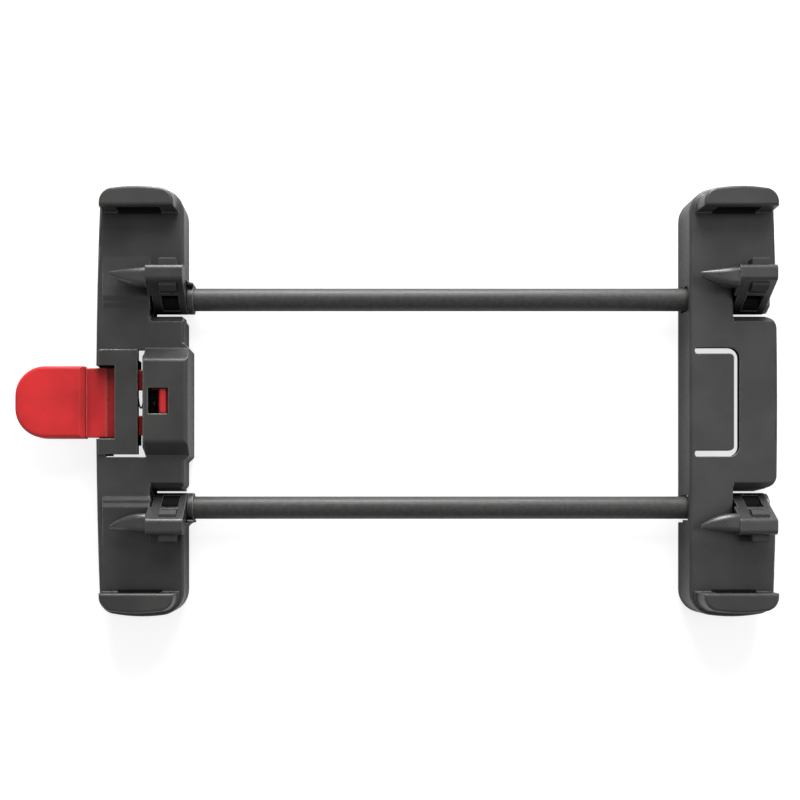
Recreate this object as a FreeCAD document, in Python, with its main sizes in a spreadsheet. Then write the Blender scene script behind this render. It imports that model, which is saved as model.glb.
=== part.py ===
import FreeCAD, Part
import functools
import os
import re
import Sketcher

# Quick-release carrier frame: two moulded end plates on two turning rods, with a pull tab that
# swings four spring-loaded jaws away from the tubes of a luggage rack.
# X runs along the rods towards the far plate, Y across them, Z up from the back face.

SIZES = {
    # End plates, seen from the front: each runs across both rods.
    "inner_gap": 177.3,
    "plate_width": 31.0,
    "plate_length": 150.6,
    "plate_height": 15.0,
    "plate_wall": 2.2,
    "plate_skin": 2.6,
    "outer_bow": 1.5,
    "end_bow": 2.0,
    "inner_corner": 8.5,
    "outer_corner": 5.5,
    "top_round": 1.0,
    # Hooked lips at both ends of each plate.
    "lip_rise": 9.8,
    "lip_thickness": 2.8,
    "lip_edge": 66.6,
    "lip_crown": 73.4,
    "lip_bow": 0.6,
    "lip_corner": 5.0,
    "lip_inner_inset": 2.5,
    "lip_outer_inset": 2.8,
    "lip_draft": 0.7,
    "lip_wall": 3.0,
    "lip_round": 0.9,
    "hook_half": 7.8,
    # Rods and how they turn in the plates.
    "rod_diameter": 8.0,
    "rod_pitch": 74.0,
    "rod_height": 8.0,
    "rod_flat": 1.0,
    "rod_chamfer": 0.5,
    "running_fit": 0.08,
    "seat_fit": 0.05,
    "part_gap": 0.35,
    # Notches that the jaws stand in.
    "notch_inside": 30.2,
    "notch_foot": 31.0,
    "notch_outside": 42.7,
    "notch_wall": 2.2,
    "notch_bevel": 2.0,
    "far_notch_corner": 4.5,
    "latch_notch_corner": 1.8,
    "latch_notch_reach": 11.9,
    "far_notch_start": 15.5,
    # Swinging jaws.
    "jaw_length": 12.8,
    "jaw_setback": 0.6,
    "jaw_collar": 1.2,
    "jaw_web": 3.2,
    "jaw_hollow": 6.0,
    "jaw_skin": 0.9,
    "hub_radius": 5.2,
    "head_top": 16.8,
    "head_under": 9.4,
    "head_outside": 9.5,
    "head_inside": 4.4,
    "head_round": 1.6,
    "nose_length": 12.7,
    "nose_outside": 8.9,
    "nose_inside": 2.1,
    "nose_top": 16.2,
    "nose_under": 10.2,
    "nose_tip": 1.3,
    "nose_round": 1.9,
    # Grip blocks pressed through the jaws.
    "grip_outside": 12.0,
    "grip_inside": 0.8,
    "grip_top": 15.4,
    "grip_under": 10.4,
    "grip_round": 0.5,
    "grip_bevel": 1.6,
    # Bearing lug at the inner wall of the latch plate.
    "lug_reach": 2.9,
    "lug_length": 2.0,
    "lug_radius": 5.2,
    "lug_flare": 3.0,
    # Bearings, bosses and ribs on the back.
    "bearing_length": 3.5,
    "bearing_half": 5.8,
    "bay_room": 7.0,
    "bay_floor": 1.5,
    "boss_radius": 4.2,
    "boss_pitch": 112.0,
    "screw_hole": 3.4,
    "rib": 1.8,
    "rib_place": 50.5,
    "rib_relief": 3.0,
    # Release tab.
    "tab_reach": 28.3,
    "paddle_length": 24.4,
    "paddle_width": 25.2,
    "paddle_corner": 10.5,
    "paddle_top": 15.6,
    "paddle_wall": 2.4,
    "paddle_round": 1.2,
    "step_bevel": 1.5,
    "tab_bottom": 9.0,
    "tab_top": 12.0,
    "neck_width": 24.4,
    "neck_step": 1.2,
    "neck_step_place": 27.7,
    "arm_inside": 4.6,
    "arm_outside": 11.4,
    "tab_travel": 3.2,
    "tooth_length": 3.2,
    "tooth_width": 8.4,
    "tooth_top": 19.2,
    "tooth_round": 1.3,
    "cross_half": 25.8,
    "jaw_swing": 16.0,
    "ramp_start": 9.2,
    # Bridge, slits and raised housing over the tab.
    "bridge_half": 18.3,
    "bridge_rise": 0.8,
    "bridge_inside": 16.2,
    "bridge_mouth": 24.2,
    "mouth_clearance": 0.7,
    "slit": 1.6,
    "slit_flare": 1.3,
    "slit_flare_length": 2.4,
    "side_slit": 1.0,
    "side_slit_length": 13.0,
    "housing_start": 13.6,
    "housing_top": 20.0,
    "housing_half": 18.8,
    "housing_crown": 14.2,
    "housing_bulge": 1.9,
    "housing_wall": 2.4,
    "housing_round": 1.6,
    "window_clearance": 0.3,
    "shelf": 2.0,
    "shelf_height": 1.0,
    "shelf_half": 7.0,
    "rail_wall": 2.0,
    "rail_ledge": 2.8,
    "rail_thickness": 2.0,
    # Springs.
    "post_length": 2.0,
    "post_half": 2.6,
    "post_place": 22.5,
    "coil_wire": 0.6,
    "coil_radius": 1.7,
    "coil_turns": 6.0,
    "torsion_wire": 1.0,
    "torsion_radius": 5.3,
    "torsion_turns": 2.25,
    "torsion_pitch": 1.1,
    "torsion_leg": 8.0,
    "torsion_place": 14.1,
    "torsion_hole_clearance": 0.15,
    # Release cranks and retaining rings.
    "crank_thickness": 1.2,
    "crank_place": 12.0,
    "crank_radius": 5.6,
    "crank_reach": 14.2,
    "crank_top": 1.1,
    "crank_under": 2.2,
    "ring_thickness": 0.8,
    "ring_radius": 5.0,
    # Spring tongue in the far plate.
    "tongue_start": 2.4,
    "tongue_end": 17.5,
    "tongue_half": 19.1,
    "tongue_slit": 2.1,
    "tongue_tip_slit": 1.9,
    "tongue_corner": 3.6,
    # Shallow stepped shoulder over each rod end of the latch plate.
    "shoulder_foot": 33.0,
    "shoulder_step": 0.55,
    "shoulder_tread": 0.8,
    "shoulder_rise_run": 1.6,
    "shoulder_fade": 14.0,
    # Openings in the far plate's inner wall.
    "entry_inside": 4.4,
    "entry_outside": 5.2,
    "entry_height": 6.0,
}

LATCH_X = "(tab_reach - inner_gap)/2"
FAR_X = "(tab_reach + inner_gap)/2"
ROD_Y = "rod_pitch/2"
LATCH_JAW_X = "jaw_setback - jaw_length"
FAR_JAW_X = "far_notch_start - jaw_collar/2"
BEARING_X = "(-torsion_place - (torsion_turns + 1)*torsion_pitch - bearing_length)"
ROD_START = f"({BEARING_X} - part_gap - 2*ring_thickness)"
ROD_END = f"({FAR_JAW_X} + jaw_length + part_gap + 2*ring_thickness)"
RAMP = "((rod_pitch/2 - cross_half)*sin(jaw_swing)/tab_travel)"
TOOTH_X = "(crank_place - part_gap - 2*tab_travel)"
BAY_Y = f"({ROD_Y} + bay_room + part_gap)"
LEG_X = "(-torsion_place - torsion_turns*torsion_pitch)"

doc = FreeCAD.newDocument("carrier_frame")
sheet = doc.addObject("Spreadsheet::Sheet", "Sizes")
for row, (alias, number) in enumerate(SIZES.items(), start=1):
    sheet.set(f"A{row}", alias)
    sheet.set(f"B{row}", str(number))
    sheet.setAlias(f"B{row}", alias)
doc.recompute()


@functools.cache
def value(text):
    """The number that an expression of sheet sizes stands for."""
    return float(sheet.evalExpression(text))


def bound(text):
    """The same expression, read from another object of the document."""
    return re.sub(r"[a-z][a-z_]*", lambda found: name_in_sheet(found.group()), text)


def name_in_sheet(word):
    return f"Sizes.{word}" if word in SIZES else word


def new_body(label, x="0", y="0", z="0"):
    body = doc.addObject("PartDesign::Body", label)
    body.Label = label
    for axis, place in zip("xyz", (x, y, z)):
        body.setExpression(f"Placement.Base.{axis}", bound(place))
    return body


def new_sketch(body, name, plane, offset="0"):
    sketch = body.newObject("Sketcher::SketchObject", name)
    support = [part for part in body.Origin.OriginFeatures if part.Role == plane][0]
    sketch.AttachmentSupport = [(support, "")]
    sketch.MapMode = "FlatFace"
    sketch.setExpression("AttachmentOffset.Base.z", bound(offset))
    return sketch


def tie(sketch, constraint, text):
    """Adds one dimension to a sketch and binds it to the sheet."""
    index = sketch.addConstraint(constraint)
    sketch.setExpression(f"Constraints[{index}]", bound(text))


def draw_outline(sketch, corners):
    """Closed outline through corners (x, y), where (x, y, radius) bows the next side out.

    A fourth entry, INWARD, bows that side in.
    """
    spots = [FreeCAD.Vector(value(corner[0]), value(corner[1]), 0) for corner in corners]
    pairs = list(zip(spots, spots[1:] + spots[:1]))
    turn = 1 if sum(a.x * b.y - a.y * b.x for a, b in pairs) > 0 else -1
    sides = []
    for corner, (start, end) in zip(corners, pairs):
        if len(corner) == 2:
            index = sketch.addGeometry(Part.LineSegment(start, end))
            sides.append((index, 1, 2))
            continue
        radius = value(corner[2])
        chord = end - start
        rise = max(radius**2 - chord.Length**2 / 4, 0) ** 0.5
        bow = turn * (corner[3] if len(corner) == 4 else 1)
        normal = FreeCAD.Vector(-chord.y, chord.x, 0).normalize() * bow
        centre = (start + end) * 0.5 + normal * rise
        first, last = (start, end) if bow > 0 else (end, start)
        angles = [FreeCAD.Vector(1, 0, 0).getAngle(spot - centre) for spot in (first, last)]
        signs = [1 if (spot - centre).y >= 0 else -1 for spot in (first, last)]
        circle = Part.Circle(centre, FreeCAD.Vector(0, 0, 1), radius)
        arc = Part.ArcOfCircle(circle, angles[0] * signs[0], angles[1] * signs[1])
        index = sketch.addGeometry(arc)
        sides.append((index, 1, 2) if bow > 0 else (index, 2, 1))
    for (side, _, end), (following, start, _) in zip(sides, sides[1:] + sides[:1]):
        sketch.addConstraint(Sketcher.Constraint("Coincident", side, end, following, start))
    for corner, spot, (side, start, _) in zip(corners, spots, sides):
        tie(sketch, Sketcher.Constraint("DistanceX", -1, 1, side, start, spot.x), corner[0])
        tie(sketch, Sketcher.Constraint("DistanceY", -1, 1, side, start, spot.y), corner[1])
        if len(corner) > 2:
            tie(sketch, Sketcher.Constraint("Radius", side, value(corner[2])), corner[2])


def mirrored(corners, side, axis):
    """The corners of one side of the carrier, across or along the sketch by its axis."""
    return [
        tuple(f"{side}*({text})" if place == axis else text for place, text in enumerate(corner))
        for corner in corners
    ]


def draw_pair(sketch, corners, axis):
    """One outline for the upper and one for the lower side."""
    for side in SIDES:
        draw_outline(sketch, mirrored(corners, side, axis))


def draw_box(sketch, left, bottom, right, top, radius=None):
    """Rectangle, with its corners rounded where a radius is given."""
    if radius is None:
        draw_outline(sketch, [(left, bottom), (right, bottom), (right, top), (left, top)])
        return
    near_x, far_x = f"({left}) + ({radius})", f"({right}) - ({radius})"
    near_y, far_y = f"({bottom}) + ({radius})", f"({top}) - ({radius})"
    corners = [(near_x, bottom), (far_x, bottom, radius), (right, near_y), (right, far_y, radius)]
    corners += [(far_x, top), (near_x, top, radius), (left, far_y), (left, near_y, radius)]
    draw_outline(sketch, corners)


def draw_circle(sketch, x, y, radius):
    centre = FreeCAD.Vector(value(x), value(y), 0)
    circle = Part.Circle(centre, FreeCAD.Vector(0, 0, 1), value(radius))
    index = sketch.addGeometry(circle)
    tie(sketch, Sketcher.Constraint("DistanceX", -1, 1, index, 3, centre.x), x)
    tie(sketch, Sketcher.Constraint("DistanceY", -1, 1, index, 3, centre.y), y)
    tie(sketch, Sketcher.Constraint("Radius", index, value(radius)), radius)


def draw_d(sketch, fit):
    """Section of the rod where its flat is, about the rod's own axis."""
    radius = f"rod_diameter/2 + {fit}"
    flat = f"rod_diameter/2 - rod_flat + {fit}"
    half = f"sqrt(({radius})^2 - ({flat})^2)"
    draw_outline(sketch, [(half, flat), (f"-{half}", flat, radius), ("0", f"-({radius})", radius)])


def extrude(body, sketch, length, kind):
    """Pad or pocket along the sketch's own normal."""
    before = body.Tip.Shape.Volume if body.Tip else 0
    feature = body.newObject(f"PartDesign::{kind}", f"{sketch.Name}_{kind.lower()}")
    feature.Profile = sketch
    feature.setExpression("Length", bound(length))
    feature.Reversed = kind == "Pocket"
    feature.Refine = False
    doc.recompute()
    change = feature.Shape.Volume - before
    if change <= 0 if kind == "Pad" else change >= 0:
        raise ValueError(f"{body.Label}: {feature.Name} changes nothing")
    return feature


def pad(body, sketch, length):
    return extrude(body, sketch, length, "Pad")


def cut(body, sketch, length):
    return extrude(body, sketch, length, "Pocket")


def loft(body, name, sketches):
    feature = body.newObject("PartDesign::AdditiveLoft", name)
    feature.Profile = sketches[0]
    feature.Sections = sketches[1:]
    doc.recompute()
    return feature


def dress(body, name, size, wanted, kind="Fillet"):
    """Rounds or bevels those edges of the body for which wanted(edge) holds."""
    base = body.Tip
    base.Refine = True
    doc.recompute()
    edges = [f"Edge{i}" for i, edge in enumerate(base.Shape.Edges, start=1) if wanted(edge)]
    if not edges:
        raise ValueError(f"{body.Label}: no edge for {name}")
    feature = body.newObject(f"PartDesign::{kind}", name)
    feature.Base = (base, edges)
    feature.setExpression("Radius" if kind == "Fillet" else "Size", bound(size))
    doc.recompute()
    return feature


def near(number, text):
    return abs(number - value(text)) < 1e-4


def spans(edge, axis):
    """Length of an edge's box along one axis."""
    return getattr(edge.BoundBox, f"{axis}Length")


def upright_at(edge, x, y):
    """A straight upright edge that stands at x, y of its body."""
    box = edge.BoundBox
    return box.XLength < 1e-4 and box.YLength < 1e-4 and near(box.XMin, x) and near(box.YMin, y)


def at_level(edge, z):
    return edge.BoundBox.ZLength < 1e-4 and near(edge.BoundBox.ZMin, z)


END_Y = "plate_length/2 - end_bow"
END_RADIUS = "((plate_width - outer_bow)^2/4 + end_bow^2)/(2*end_bow)"
SIDE_RADIUS = f"(({END_Y})^2 + outer_bow^2)/(2*outer_bow)"
SIDES = (1, -1)
INWARD = -1
NAMES = {1: "upper", -1: "lower"}


def bowed_x(y):
    """Distance of the bowed outer edge from the inner wall at y."""
    return f"(plate_width - {SIDE_RADIUS} + sqrt(({SIDE_RADIUS})^2 - ({y})^2))"


def notched_side(edge_x, radius, notch_x, corner):
    """Right-hand side of a plate from its lower to its upper end, with the two jaw notches."""
    bend = f"(notch_inside - {corner})"
    half = [(edge_x(bend), bend, corner), (f"{edge_x('notch_inside')} - {corner}", "notch_inside")]
    half += [(notch_x, "notch_inside"), (notch_x, "notch_outside")]
    half += [(edge_x("notch_outside"), "notch_outside") + radius]
    lower = [(edge_x(END_Y), f"-({END_Y})") + radius]
    lower += [(x, f"-{y}") for x, y, *_ in half[:1:-1]]
    lower += [(half[1][0], "-notch_inside", corner), (half[0][0], f"-{bend}") + radius]
    return lower + half + [(edge_x(END_Y), END_Y, END_RADIUS)]


def plate_blank(label, x, out):
    """Flat moulded plate with two jaw notches; out is the side that faces away from the rods."""
    body = new_body(label, x)
    outline = new_sketch(body, f"{label}_outline", "XY_Plane")
    bowed = (f"({SIDE_RADIUS})",)
    outer_x = f"{out}*{bowed_x(END_Y)}"
    if out < 0:
        corners = notched_side(lambda y: "0", (), "-latch_notch_reach", "latch_notch_corner")
        corners += [(outer_x, END_Y) + bowed, (outer_x, f"-({END_Y})", END_RADIUS)]
    else:
        corners = notched_side(bowed_x, bowed, "far_notch_start", "far_notch_corner")
        corners += [("0", END_Y), ("0", f"-({END_Y})", END_RADIUS)]
    draw_outline(outline, corners)
    pad(body, outline, "plate_height")
    for size, corner_x in (("inner_corner", "0"), ("outer_corner", outer_x)):
        dress(
            body,
            f"{label}_{size}",
            size,
            lambda edge: any(upright_at(edge, corner_x, f"{side}*({END_Y})") for side in SIDES),
        )
    dress(body, f"{label}_rim", "top_round", lambda edge: at_level(edge, "plate_height"))
    return body


def draw_end_hollow(sketch, out):
    """Open backs behind both lips, up to the walls beside the jaw notches."""
    near_x, far_x = f"{out}*plate_wall", f"{out}*(plate_width - outer_bow - plate_wall)"
    start, end = f"({BAY_Y} + notch_wall)", f"({END_Y} - plate_wall)"
    near_bend, far_bend = "(inner_corner - plate_wall)", "(outer_corner - plate_wall)"
    corners = [(near_x, start), (near_x, f"{end} - {near_bend}", near_bend)]
    corners += [(f"{near_x} + {out}*{near_bend}", end), (f"{far_x} - {out}*{far_bend}", end, far_bend)]
    corners += [(far_x, f"{end} - {far_bend}"), (far_x, start)]
    draw_pair(sketch, corners, 1)


def lip_outline(out, grow):
    """A lip seen from the front: straight towards the jaws, rounded and slightly bowed behind."""
    near_x = f"{out}*(lip_inner_inset - {grow})"
    far_x = f"{out}*(plate_width - lip_outer_inset + {grow})"
    bend = f"(lip_corner + {grow})"
    brow = f"(lip_crown + {grow} - lip_bow)"
    chord = f"(plate_width - lip_inner_inset - lip_outer_inset - 2*lip_corner)"
    bow = f"(({chord}/2)^2 + lip_bow^2)/(2*lip_bow)"
    corners = [(far_x, "lip_edge"), (near_x, "lip_edge"), (near_x, f"{brow} - {bend}", bend)]
    corners += [(f"{near_x} + {out}*{bend}", brow, bow), (f"{far_x} - {out}*{bend}", brow, bend)]
    return corners + [(far_x, f"{brow} - {bend}")]


def add_lips(body, label, out):
    """Lips that stop the rack tubes: drafted blocks, undercut along the middle of their edge."""
    levels = (("lip_draft", "plate_height - plate_skin"), ("0", "plate_height + lip_rise"))
    for side in SIDES:
        name = f"{label}_lip_{NAMES[side]}"
        sections = []
        for grow, z in levels:
            sections.append(new_sketch(body, f"{name}_{len(sections)}", "XY_Plane", z))
            draw_outline(sections[-1], mirrored(lip_outline(out, grow), side, 1))
        loft(body, name, sections)
    seat = new_sketch(body, f"{label}_undercut", "YZ_Plane", f"{out}*plate_width/2 - hook_half")
    under, back = "plate_height + lip_rise - lip_thickness", "lip_crown - lip_wall"
    corners = [("lip_edge - lip_wall", "plate_height"), (f"{back} + lip_draft", "plate_height")]
    corners += [(back, under), ("lip_edge - lip_wall", under)]
    draw_pair(seat, corners, 0)
    cut(body, seat, "2*hook_half")
    dress(body, f"{label}_lip_rounds", "lip_round", lambda edge: at_level(edge, "plate_height + lip_rise"))


def add_bosses(body, label, out):
    """Screw bosses that hold the carrier to the back of a bag, and a rib beside each."""
    bosses = new_sketch(body, f"{label}_bosses", "XY_Plane")
    for side in SIDES:
        for radius in ("boss_radius", "screw_hole/2"):
            draw_circle(bosses, f"{out}*plate_width/2", f"{side}*boss_pitch/2", radius)
    pad(body, bosses, "plate_height - plate_skin")
    ribs = new_sketch(body, f"{label}_ribs", "XY_Plane", "rib_relief")
    near_x, far_x = f"{out}*plate_wall/2", f"{out}*(plate_width - outer_bow - plate_wall/2)"
    corners = [(near_x, "rib_place"), (near_x, "rib_place + rib")]
    corners += [(far_x, "rib_place + rib"), (far_x, "rib_place")]
    draw_pair(ribs, corners, 1)
    pad(body, ribs, "plate_height - plate_skin/2 - rib_relief")


def add_notch_feet(body, label, x_start, length):
    """Wedges that slope the middle walls of the jaw notches out towards the back."""
    sketch = new_sketch(body, f"{label}_notch_feet", "YZ_Plane", x_start)
    under = "plate_height - plate_skin/2"
    corners = [("notch_inside - notch_wall/2", under), ("notch_inside - notch_wall/2", "0")]
    corners += [("notch_foot", "0"), ("notch_inside", under)]
    draw_pair(sketch, corners, 0)
    pad(body, sketch, length)


def bevel_notches(body, label, x_start, length):
    """Bevels at the face along the middle walls of the jaw notches."""
    sketch = new_sketch(body, f"{label}_notch_bevels", "YZ_Plane", x_start)
    outside, top = "notch_inside + notch_bevel", "plate_height + notch_bevel"
    corners = [("notch_inside - 2*notch_bevel", top), (outside, "plate_height - 2*notch_bevel")]
    draw_pair(sketch, corners + [(outside, top)], 0)
    cut(body, sketch, length)


def draw_rod_bores(sketch):
    for side in SIDES:
        draw_circle(sketch, f"{side}*{ROD_Y}", "rod_height", "rod_diameter/2 + running_fit")


def latch_plate():
    """Latch end: bridge and raised housing for the tab, and the lugs that carry the rods."""
    label = "latch_end_plate"
    body = plate_blank(label, LATCH_X, -1)
    back = new_sketch(body, f"{label}_back", "XY_Plane")
    draw_end_hollow(back, -1)
    left, bay, right = "plate_wall + outer_bow - plate_width", "part_gap - latch_notch_reach", "-plate_wall"
    middle, end = "(notch_inside - notch_wall)", BAY_Y
    corners = [(left, f"-{end}"), (bay, f"-{end}"), (bay, f"-{middle}"), (right, f"-{middle}")]
    corners += [(right, middle), (bay, middle), (bay, end), (left, end)]
    draw_outline(back, corners)
    cut(body, back, "plate_height - plate_skin")
    add_shoulders(body)
    add_notch_feet(body, label, bay, "latch_notch_reach - part_gap - latch_notch_corner/2")
    bevel_notches(body, label, "-latch_notch_reach", "latch_notch_reach")
    add_bays(body, bay)
    bearings = new_sketch(body, "end_bearings", "YZ_Plane", BEARING_X)
    low, high = f"{ROD_Y} - bearing_half", f"{ROD_Y} + bearing_half"
    under = "plate_height - plate_skin/4"
    draw_pair(bearings, [(low, "0"), (high, "0"), (high, under), (low, under)], 0)
    draw_rod_bores(bearings)
    pad(body, bearings, "bearing_length")
    add_lugs(body)
    add_bosses(body, label, -1)
    add_housing(body)
    add_bridge(body)
    add_lips(body, label, -1)
    return body


def add_bays(body, bay):
    """Room for the springs and cranks beside the jaws, with a floor and a rest for each spring's leg."""
    room = "(torsion_radius + torsion_wire/2 + part_gap)"
    reliefs = new_sketch(body, "coil_reliefs", "XY_Plane")
    near_x, low, high = f"{ROD_START} - part_gap", f"{ROD_Y} - {room}", f"{ROD_Y} + {room}"
    draw_pair(reliefs, [(near_x, low), (bay, low), (bay, high), (near_x, high)], 1)
    cut(body, reliefs, f"rod_height + {room}")
    floors = new_sketch(body, "bay_floors", "XY_Plane")
    near_x = f"{BEARING_X} + bearing_length/2"
    low, high = "notch_inside - notch_wall", f"{BAY_Y} + notch_wall/2"
    draw_pair(floors, [(near_x, low), (bay, low), (bay, high), (near_x, high)], 1)
    pad(body, floors, "bay_floor")
    rests = new_sketch(body, "spring_rests", "XY_Plane")
    slack = "(torsion_wire/2 + torsion_hole_clearance)"
    low, high = f"{BAY_Y} - part_gap", f"{BAY_Y} + notch_wall/2"
    near_x, far_x = f"{LEG_X} - {slack}", f"{LEG_X} + {slack}"
    draw_pair(rests, [(near_x, low), (far_x, low), (far_x, high), (near_x, high)], 1)
    cut(body, rests, f"rod_height - torsion_radius + {slack}")


def add_shoulders(body):
    """Two shallow steps across the face over each rod's end, fading out towards the lip."""
    sketch = new_sketch(body, "shoulders", "YZ_Plane", "outer_bow + top_round - plate_width")
    first = "shoulder_foot + shoulder_rise_run"
    second = f"{first} + shoulder_tread"
    third = f"{second} + shoulder_rise_run"
    low = "plate_height - plate_skin/2"
    corners = [("shoulder_foot", low), ("shoulder_foot", "plate_height")]
    corners += [(first, "plate_height + shoulder_step"), (second, "plate_height + shoulder_step")]
    corners += [(third, "plate_height + 2*shoulder_step")]
    corners += [(f"{third} + shoulder_fade", "plate_height"), (f"{third} + shoulder_fade", low)]
    draw_pair(sketch, corners, 0)
    pad(body, sketch, "plate_width - outer_bow - top_round - latch_notch_reach")


def add_lugs(body):
    """Round lugs that carry the rods just outside the jaws, each flared into the inner wall."""
    lugs = new_sketch(body, "lugs", "YZ_Plane", "lug_reach - lug_length")
    for side in SIDES:
        draw_circle(lugs, f"{side}*{ROD_Y}", "rod_height", "lug_radius")
    draw_rod_bores(lugs)
    pad(body, lugs, "lug_length")
    flares = new_sketch(body, "lug_flares", "XY_Plane", "rod_height - lug_radius")
    start_x, inside = "lug_reach - lug_length", f"{ROD_Y} + rod_diameter/2 + running_fit + part_gap"
    tip, root = f"{ROD_Y} + lug_radius", f"{ROD_Y} + lug_radius + lug_flare"
    corners = [("-plate_wall", "notch_outside"), (start_x, "notch_outside"), (start_x, inside)]
    corners += [("lug_reach", inside), ("lug_reach", tip, "lug_flare", INWARD), ("0", root)]
    corners += [("-plate_wall", root)]
    draw_pair(flares, corners, 1)
    pad(body, flares, "2*lug_radius")


def add_housing(body):
    """Raised housing with sloped sides, and the bulge of the inner wall below it."""
    bulge = new_sketch(body, "housing_bulge", "XY_Plane")
    toe = "(housing_half + housing_bulge)"
    corners = [("-plate_wall", f"-{toe}"), ("0", f"-{toe}"), ("housing_bulge", "-housing_half")]
    corners += [("housing_bulge", "housing_half"), ("0", toe), ("-plate_wall", toe)]
    draw_outline(bulge, corners)
    pad(body, bulge, "plate_height")
    crown = new_sketch(body, "housing_crown", "YZ_Plane", "-housing_start")
    foot = "plate_height - plate_skin/2"
    corners = [("-housing_half", foot), ("housing_half", foot), ("housing_half", "plate_height")]
    corners += [("housing_crown", "housing_top"), ("-housing_crown", "housing_top")]
    corners += [("-housing_half", "plate_height")]
    draw_outline(crown, corners)
    pad(body, crown, "housing_start + housing_bulge")

    def crest(edge):
        return at_level(edge, "housing_top") and not near(edge.BoundBox.Center.x, "-housing_start")

    dress(body, "housing_rounds", "housing_round", crest)
    core = new_sketch(body, "housing_core", "XY_Plane")
    edge_y = "(housing_crown - housing_wall)"
    near_x = f"-({TOOTH_X} + tooth_length + tab_travel + window_clearance)"
    draw_box(core, near_x, f"-{edge_y}", "housing_bulge - housing_wall", edge_y)
    cut(body, core, "housing_top - housing_wall")
    window = new_sketch(body, "tooth_window", "XY_Plane", "housing_top - 2*housing_wall")
    half = "(tooth_width/2 + window_clearance)"
    draw_box(window, near_x, f"-{half}", f"window_clearance - {TOOTH_X}", half)
    cut(body, window, "4*housing_wall")
    shelf = new_sketch(body, "tooth_shelf", "XY_Plane", "shelf_height")
    draw_box(shelf, "-housing_start", "-shelf_half", "0", "shelf_half")
    pad(body, shelf, "shelf")


def add_bridge(body):
    """Bridge that the tab slides under, with its mouth, slits, rails and spring post."""
    crown = new_sketch(body, "bridge_crown", "XY_Plane", "plate_height - plate_skin/2")
    draw_box(crown, "top_round - plate_width", "-bridge_half", "-bridge_inside", "bridge_half")
    pad(body, crown, "plate_skin/2 + bridge_rise")
    mouth = new_sketch(body, "bridge_mouth", "XY_Plane", "tab_bottom - part_gap")
    half = "(neck_width/2 + mouth_clearance)"
    draw_box(mouth, "-plate_width - plate_wall", f"-{half}", "-bridge_mouth", half)
    cut(body, mouth, "plate_height")
    slits = new_sketch(body, "tab_slits", "XY_Plane", "plate_height - 2*plate_skin")
    left, right = "-bridge_inside", "slit - bridge_inside"
    flare = f"{right} + slit_flare"
    bend = "(bridge_half - slit_flare_length)"
    tail, low = f"{right} - side_slit_length", "-bridge_half - side_slit"
    corners = [(tail, low), (flare, low), (right, f"-{bend}"), (right, bend), (flare, "bridge_half")]
    corners += [(left, "bridge_half"), (left, "-bridge_half"), (tail, "-bridge_half")]
    draw_outline(slits, corners)
    cut(body, slits, "4*plate_skin + housing_top")
    slot = new_sketch(body, "side_slot", "XY_Plane")
    draw_box(slot, "-plate_width - plate_wall", low, f"{tail} + plate_wall", "-bridge_half")
    cut(body, slot, "plate_height - plate_skin")
    foot = "tab_bottom - part_gap - rail_thickness"
    start_x = "plate_wall/2 + outer_bow - plate_width"
    rails = new_sketch(body, "rails", "XY_Plane", foot)
    corners = [(start_x, half), (left, half), (left, f"{half} + rail_wall"), (start_x, f"{half} + rail_wall")]
    draw_pair(rails, corners, 1)
    pad(body, rails, f"plate_height - plate_skin/2 - ({foot})")
    ledges = new_sketch(body, "ledges", "XY_Plane", foot)
    corners = [(start_x, f"{half} - rail_ledge"), (left, f"{half} - rail_ledge")]
    corners += [(left, f"{half} + rail_wall/2"), (start_x, f"{half} + rail_wall/2")]
    draw_pair(ledges, corners, 1)
    pad(body, ledges, "rail_thickness")
    post = new_sketch(body, "spring_post", "XY_Plane", "tab_bottom")
    draw_box(post, "-post_place", "-post_half", "post_length - post_place", "post_half")
    pad(body, post, "plate_height - plate_skin/2 - tab_bottom")


def far_plate():
    """Far end: spring tongue in the middle and slots where the rods come through the inner wall."""
    label = "far_end_plate"
    body = plate_blank(label, FAR_X, 1)
    back = new_sketch(body, f"{label}_back", "XY_Plane")
    draw_end_hollow(back, 1)
    right, bay = "plate_width - outer_bow - plate_wall", "far_notch_start - bearing_length"
    middle, end = "(notch_inside - notch_wall)", BAY_Y
    bend = "(far_notch_corner - notch_wall)"
    half = [(right, f"({middle} - {bend})", bend), (f"{right} - {bend}", middle), (bay, middle), (bay, end)]
    half += [("plate_wall", end)]
    lower = [(corner[0], f"-{corner[1]}") for corner in half[::-1]]
    lower[-2] += (bend,)
    draw_outline(back, lower + half)
    cut(body, back, "plate_height - plate_skin")
    foot_length = "plate_width - outer_bow - far_notch_corner/2 - far_notch_start"
    add_notch_feet(body, label, "far_notch_start", foot_length)
    bevel_notches(body, label, "far_notch_start", "plate_width - far_notch_start")
    bores = new_sketch(body, "far_bores", "YZ_Plane", "far_notch_start - bearing_length")
    draw_rod_bores(bores)
    cut(body, bores, "bearing_length")
    entries = new_sketch(body, "rod_entries", "YZ_Plane", "-plate_wall")
    low, high, foot = f"{ROD_Y} - entry_inside", f"{ROD_Y} + entry_inside", f"{ROD_Y} + entry_outside"
    under, top = "rod_height - entry_inside", "plate_height - plate_skin"
    corners = [(low, under), (ROD_Y, under), (ROD_Y, "0"), (foot, "0"), (foot, "entry_height")]
    draw_pair(entries, corners + [(high, "entry_height"), (high, top), (low, top)], 0)
    cut(body, entries, "3*plate_wall")
    add_bosses(body, label, 1)
    add_tongue(body)
    add_lips(body, label, 1)
    return body


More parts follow.
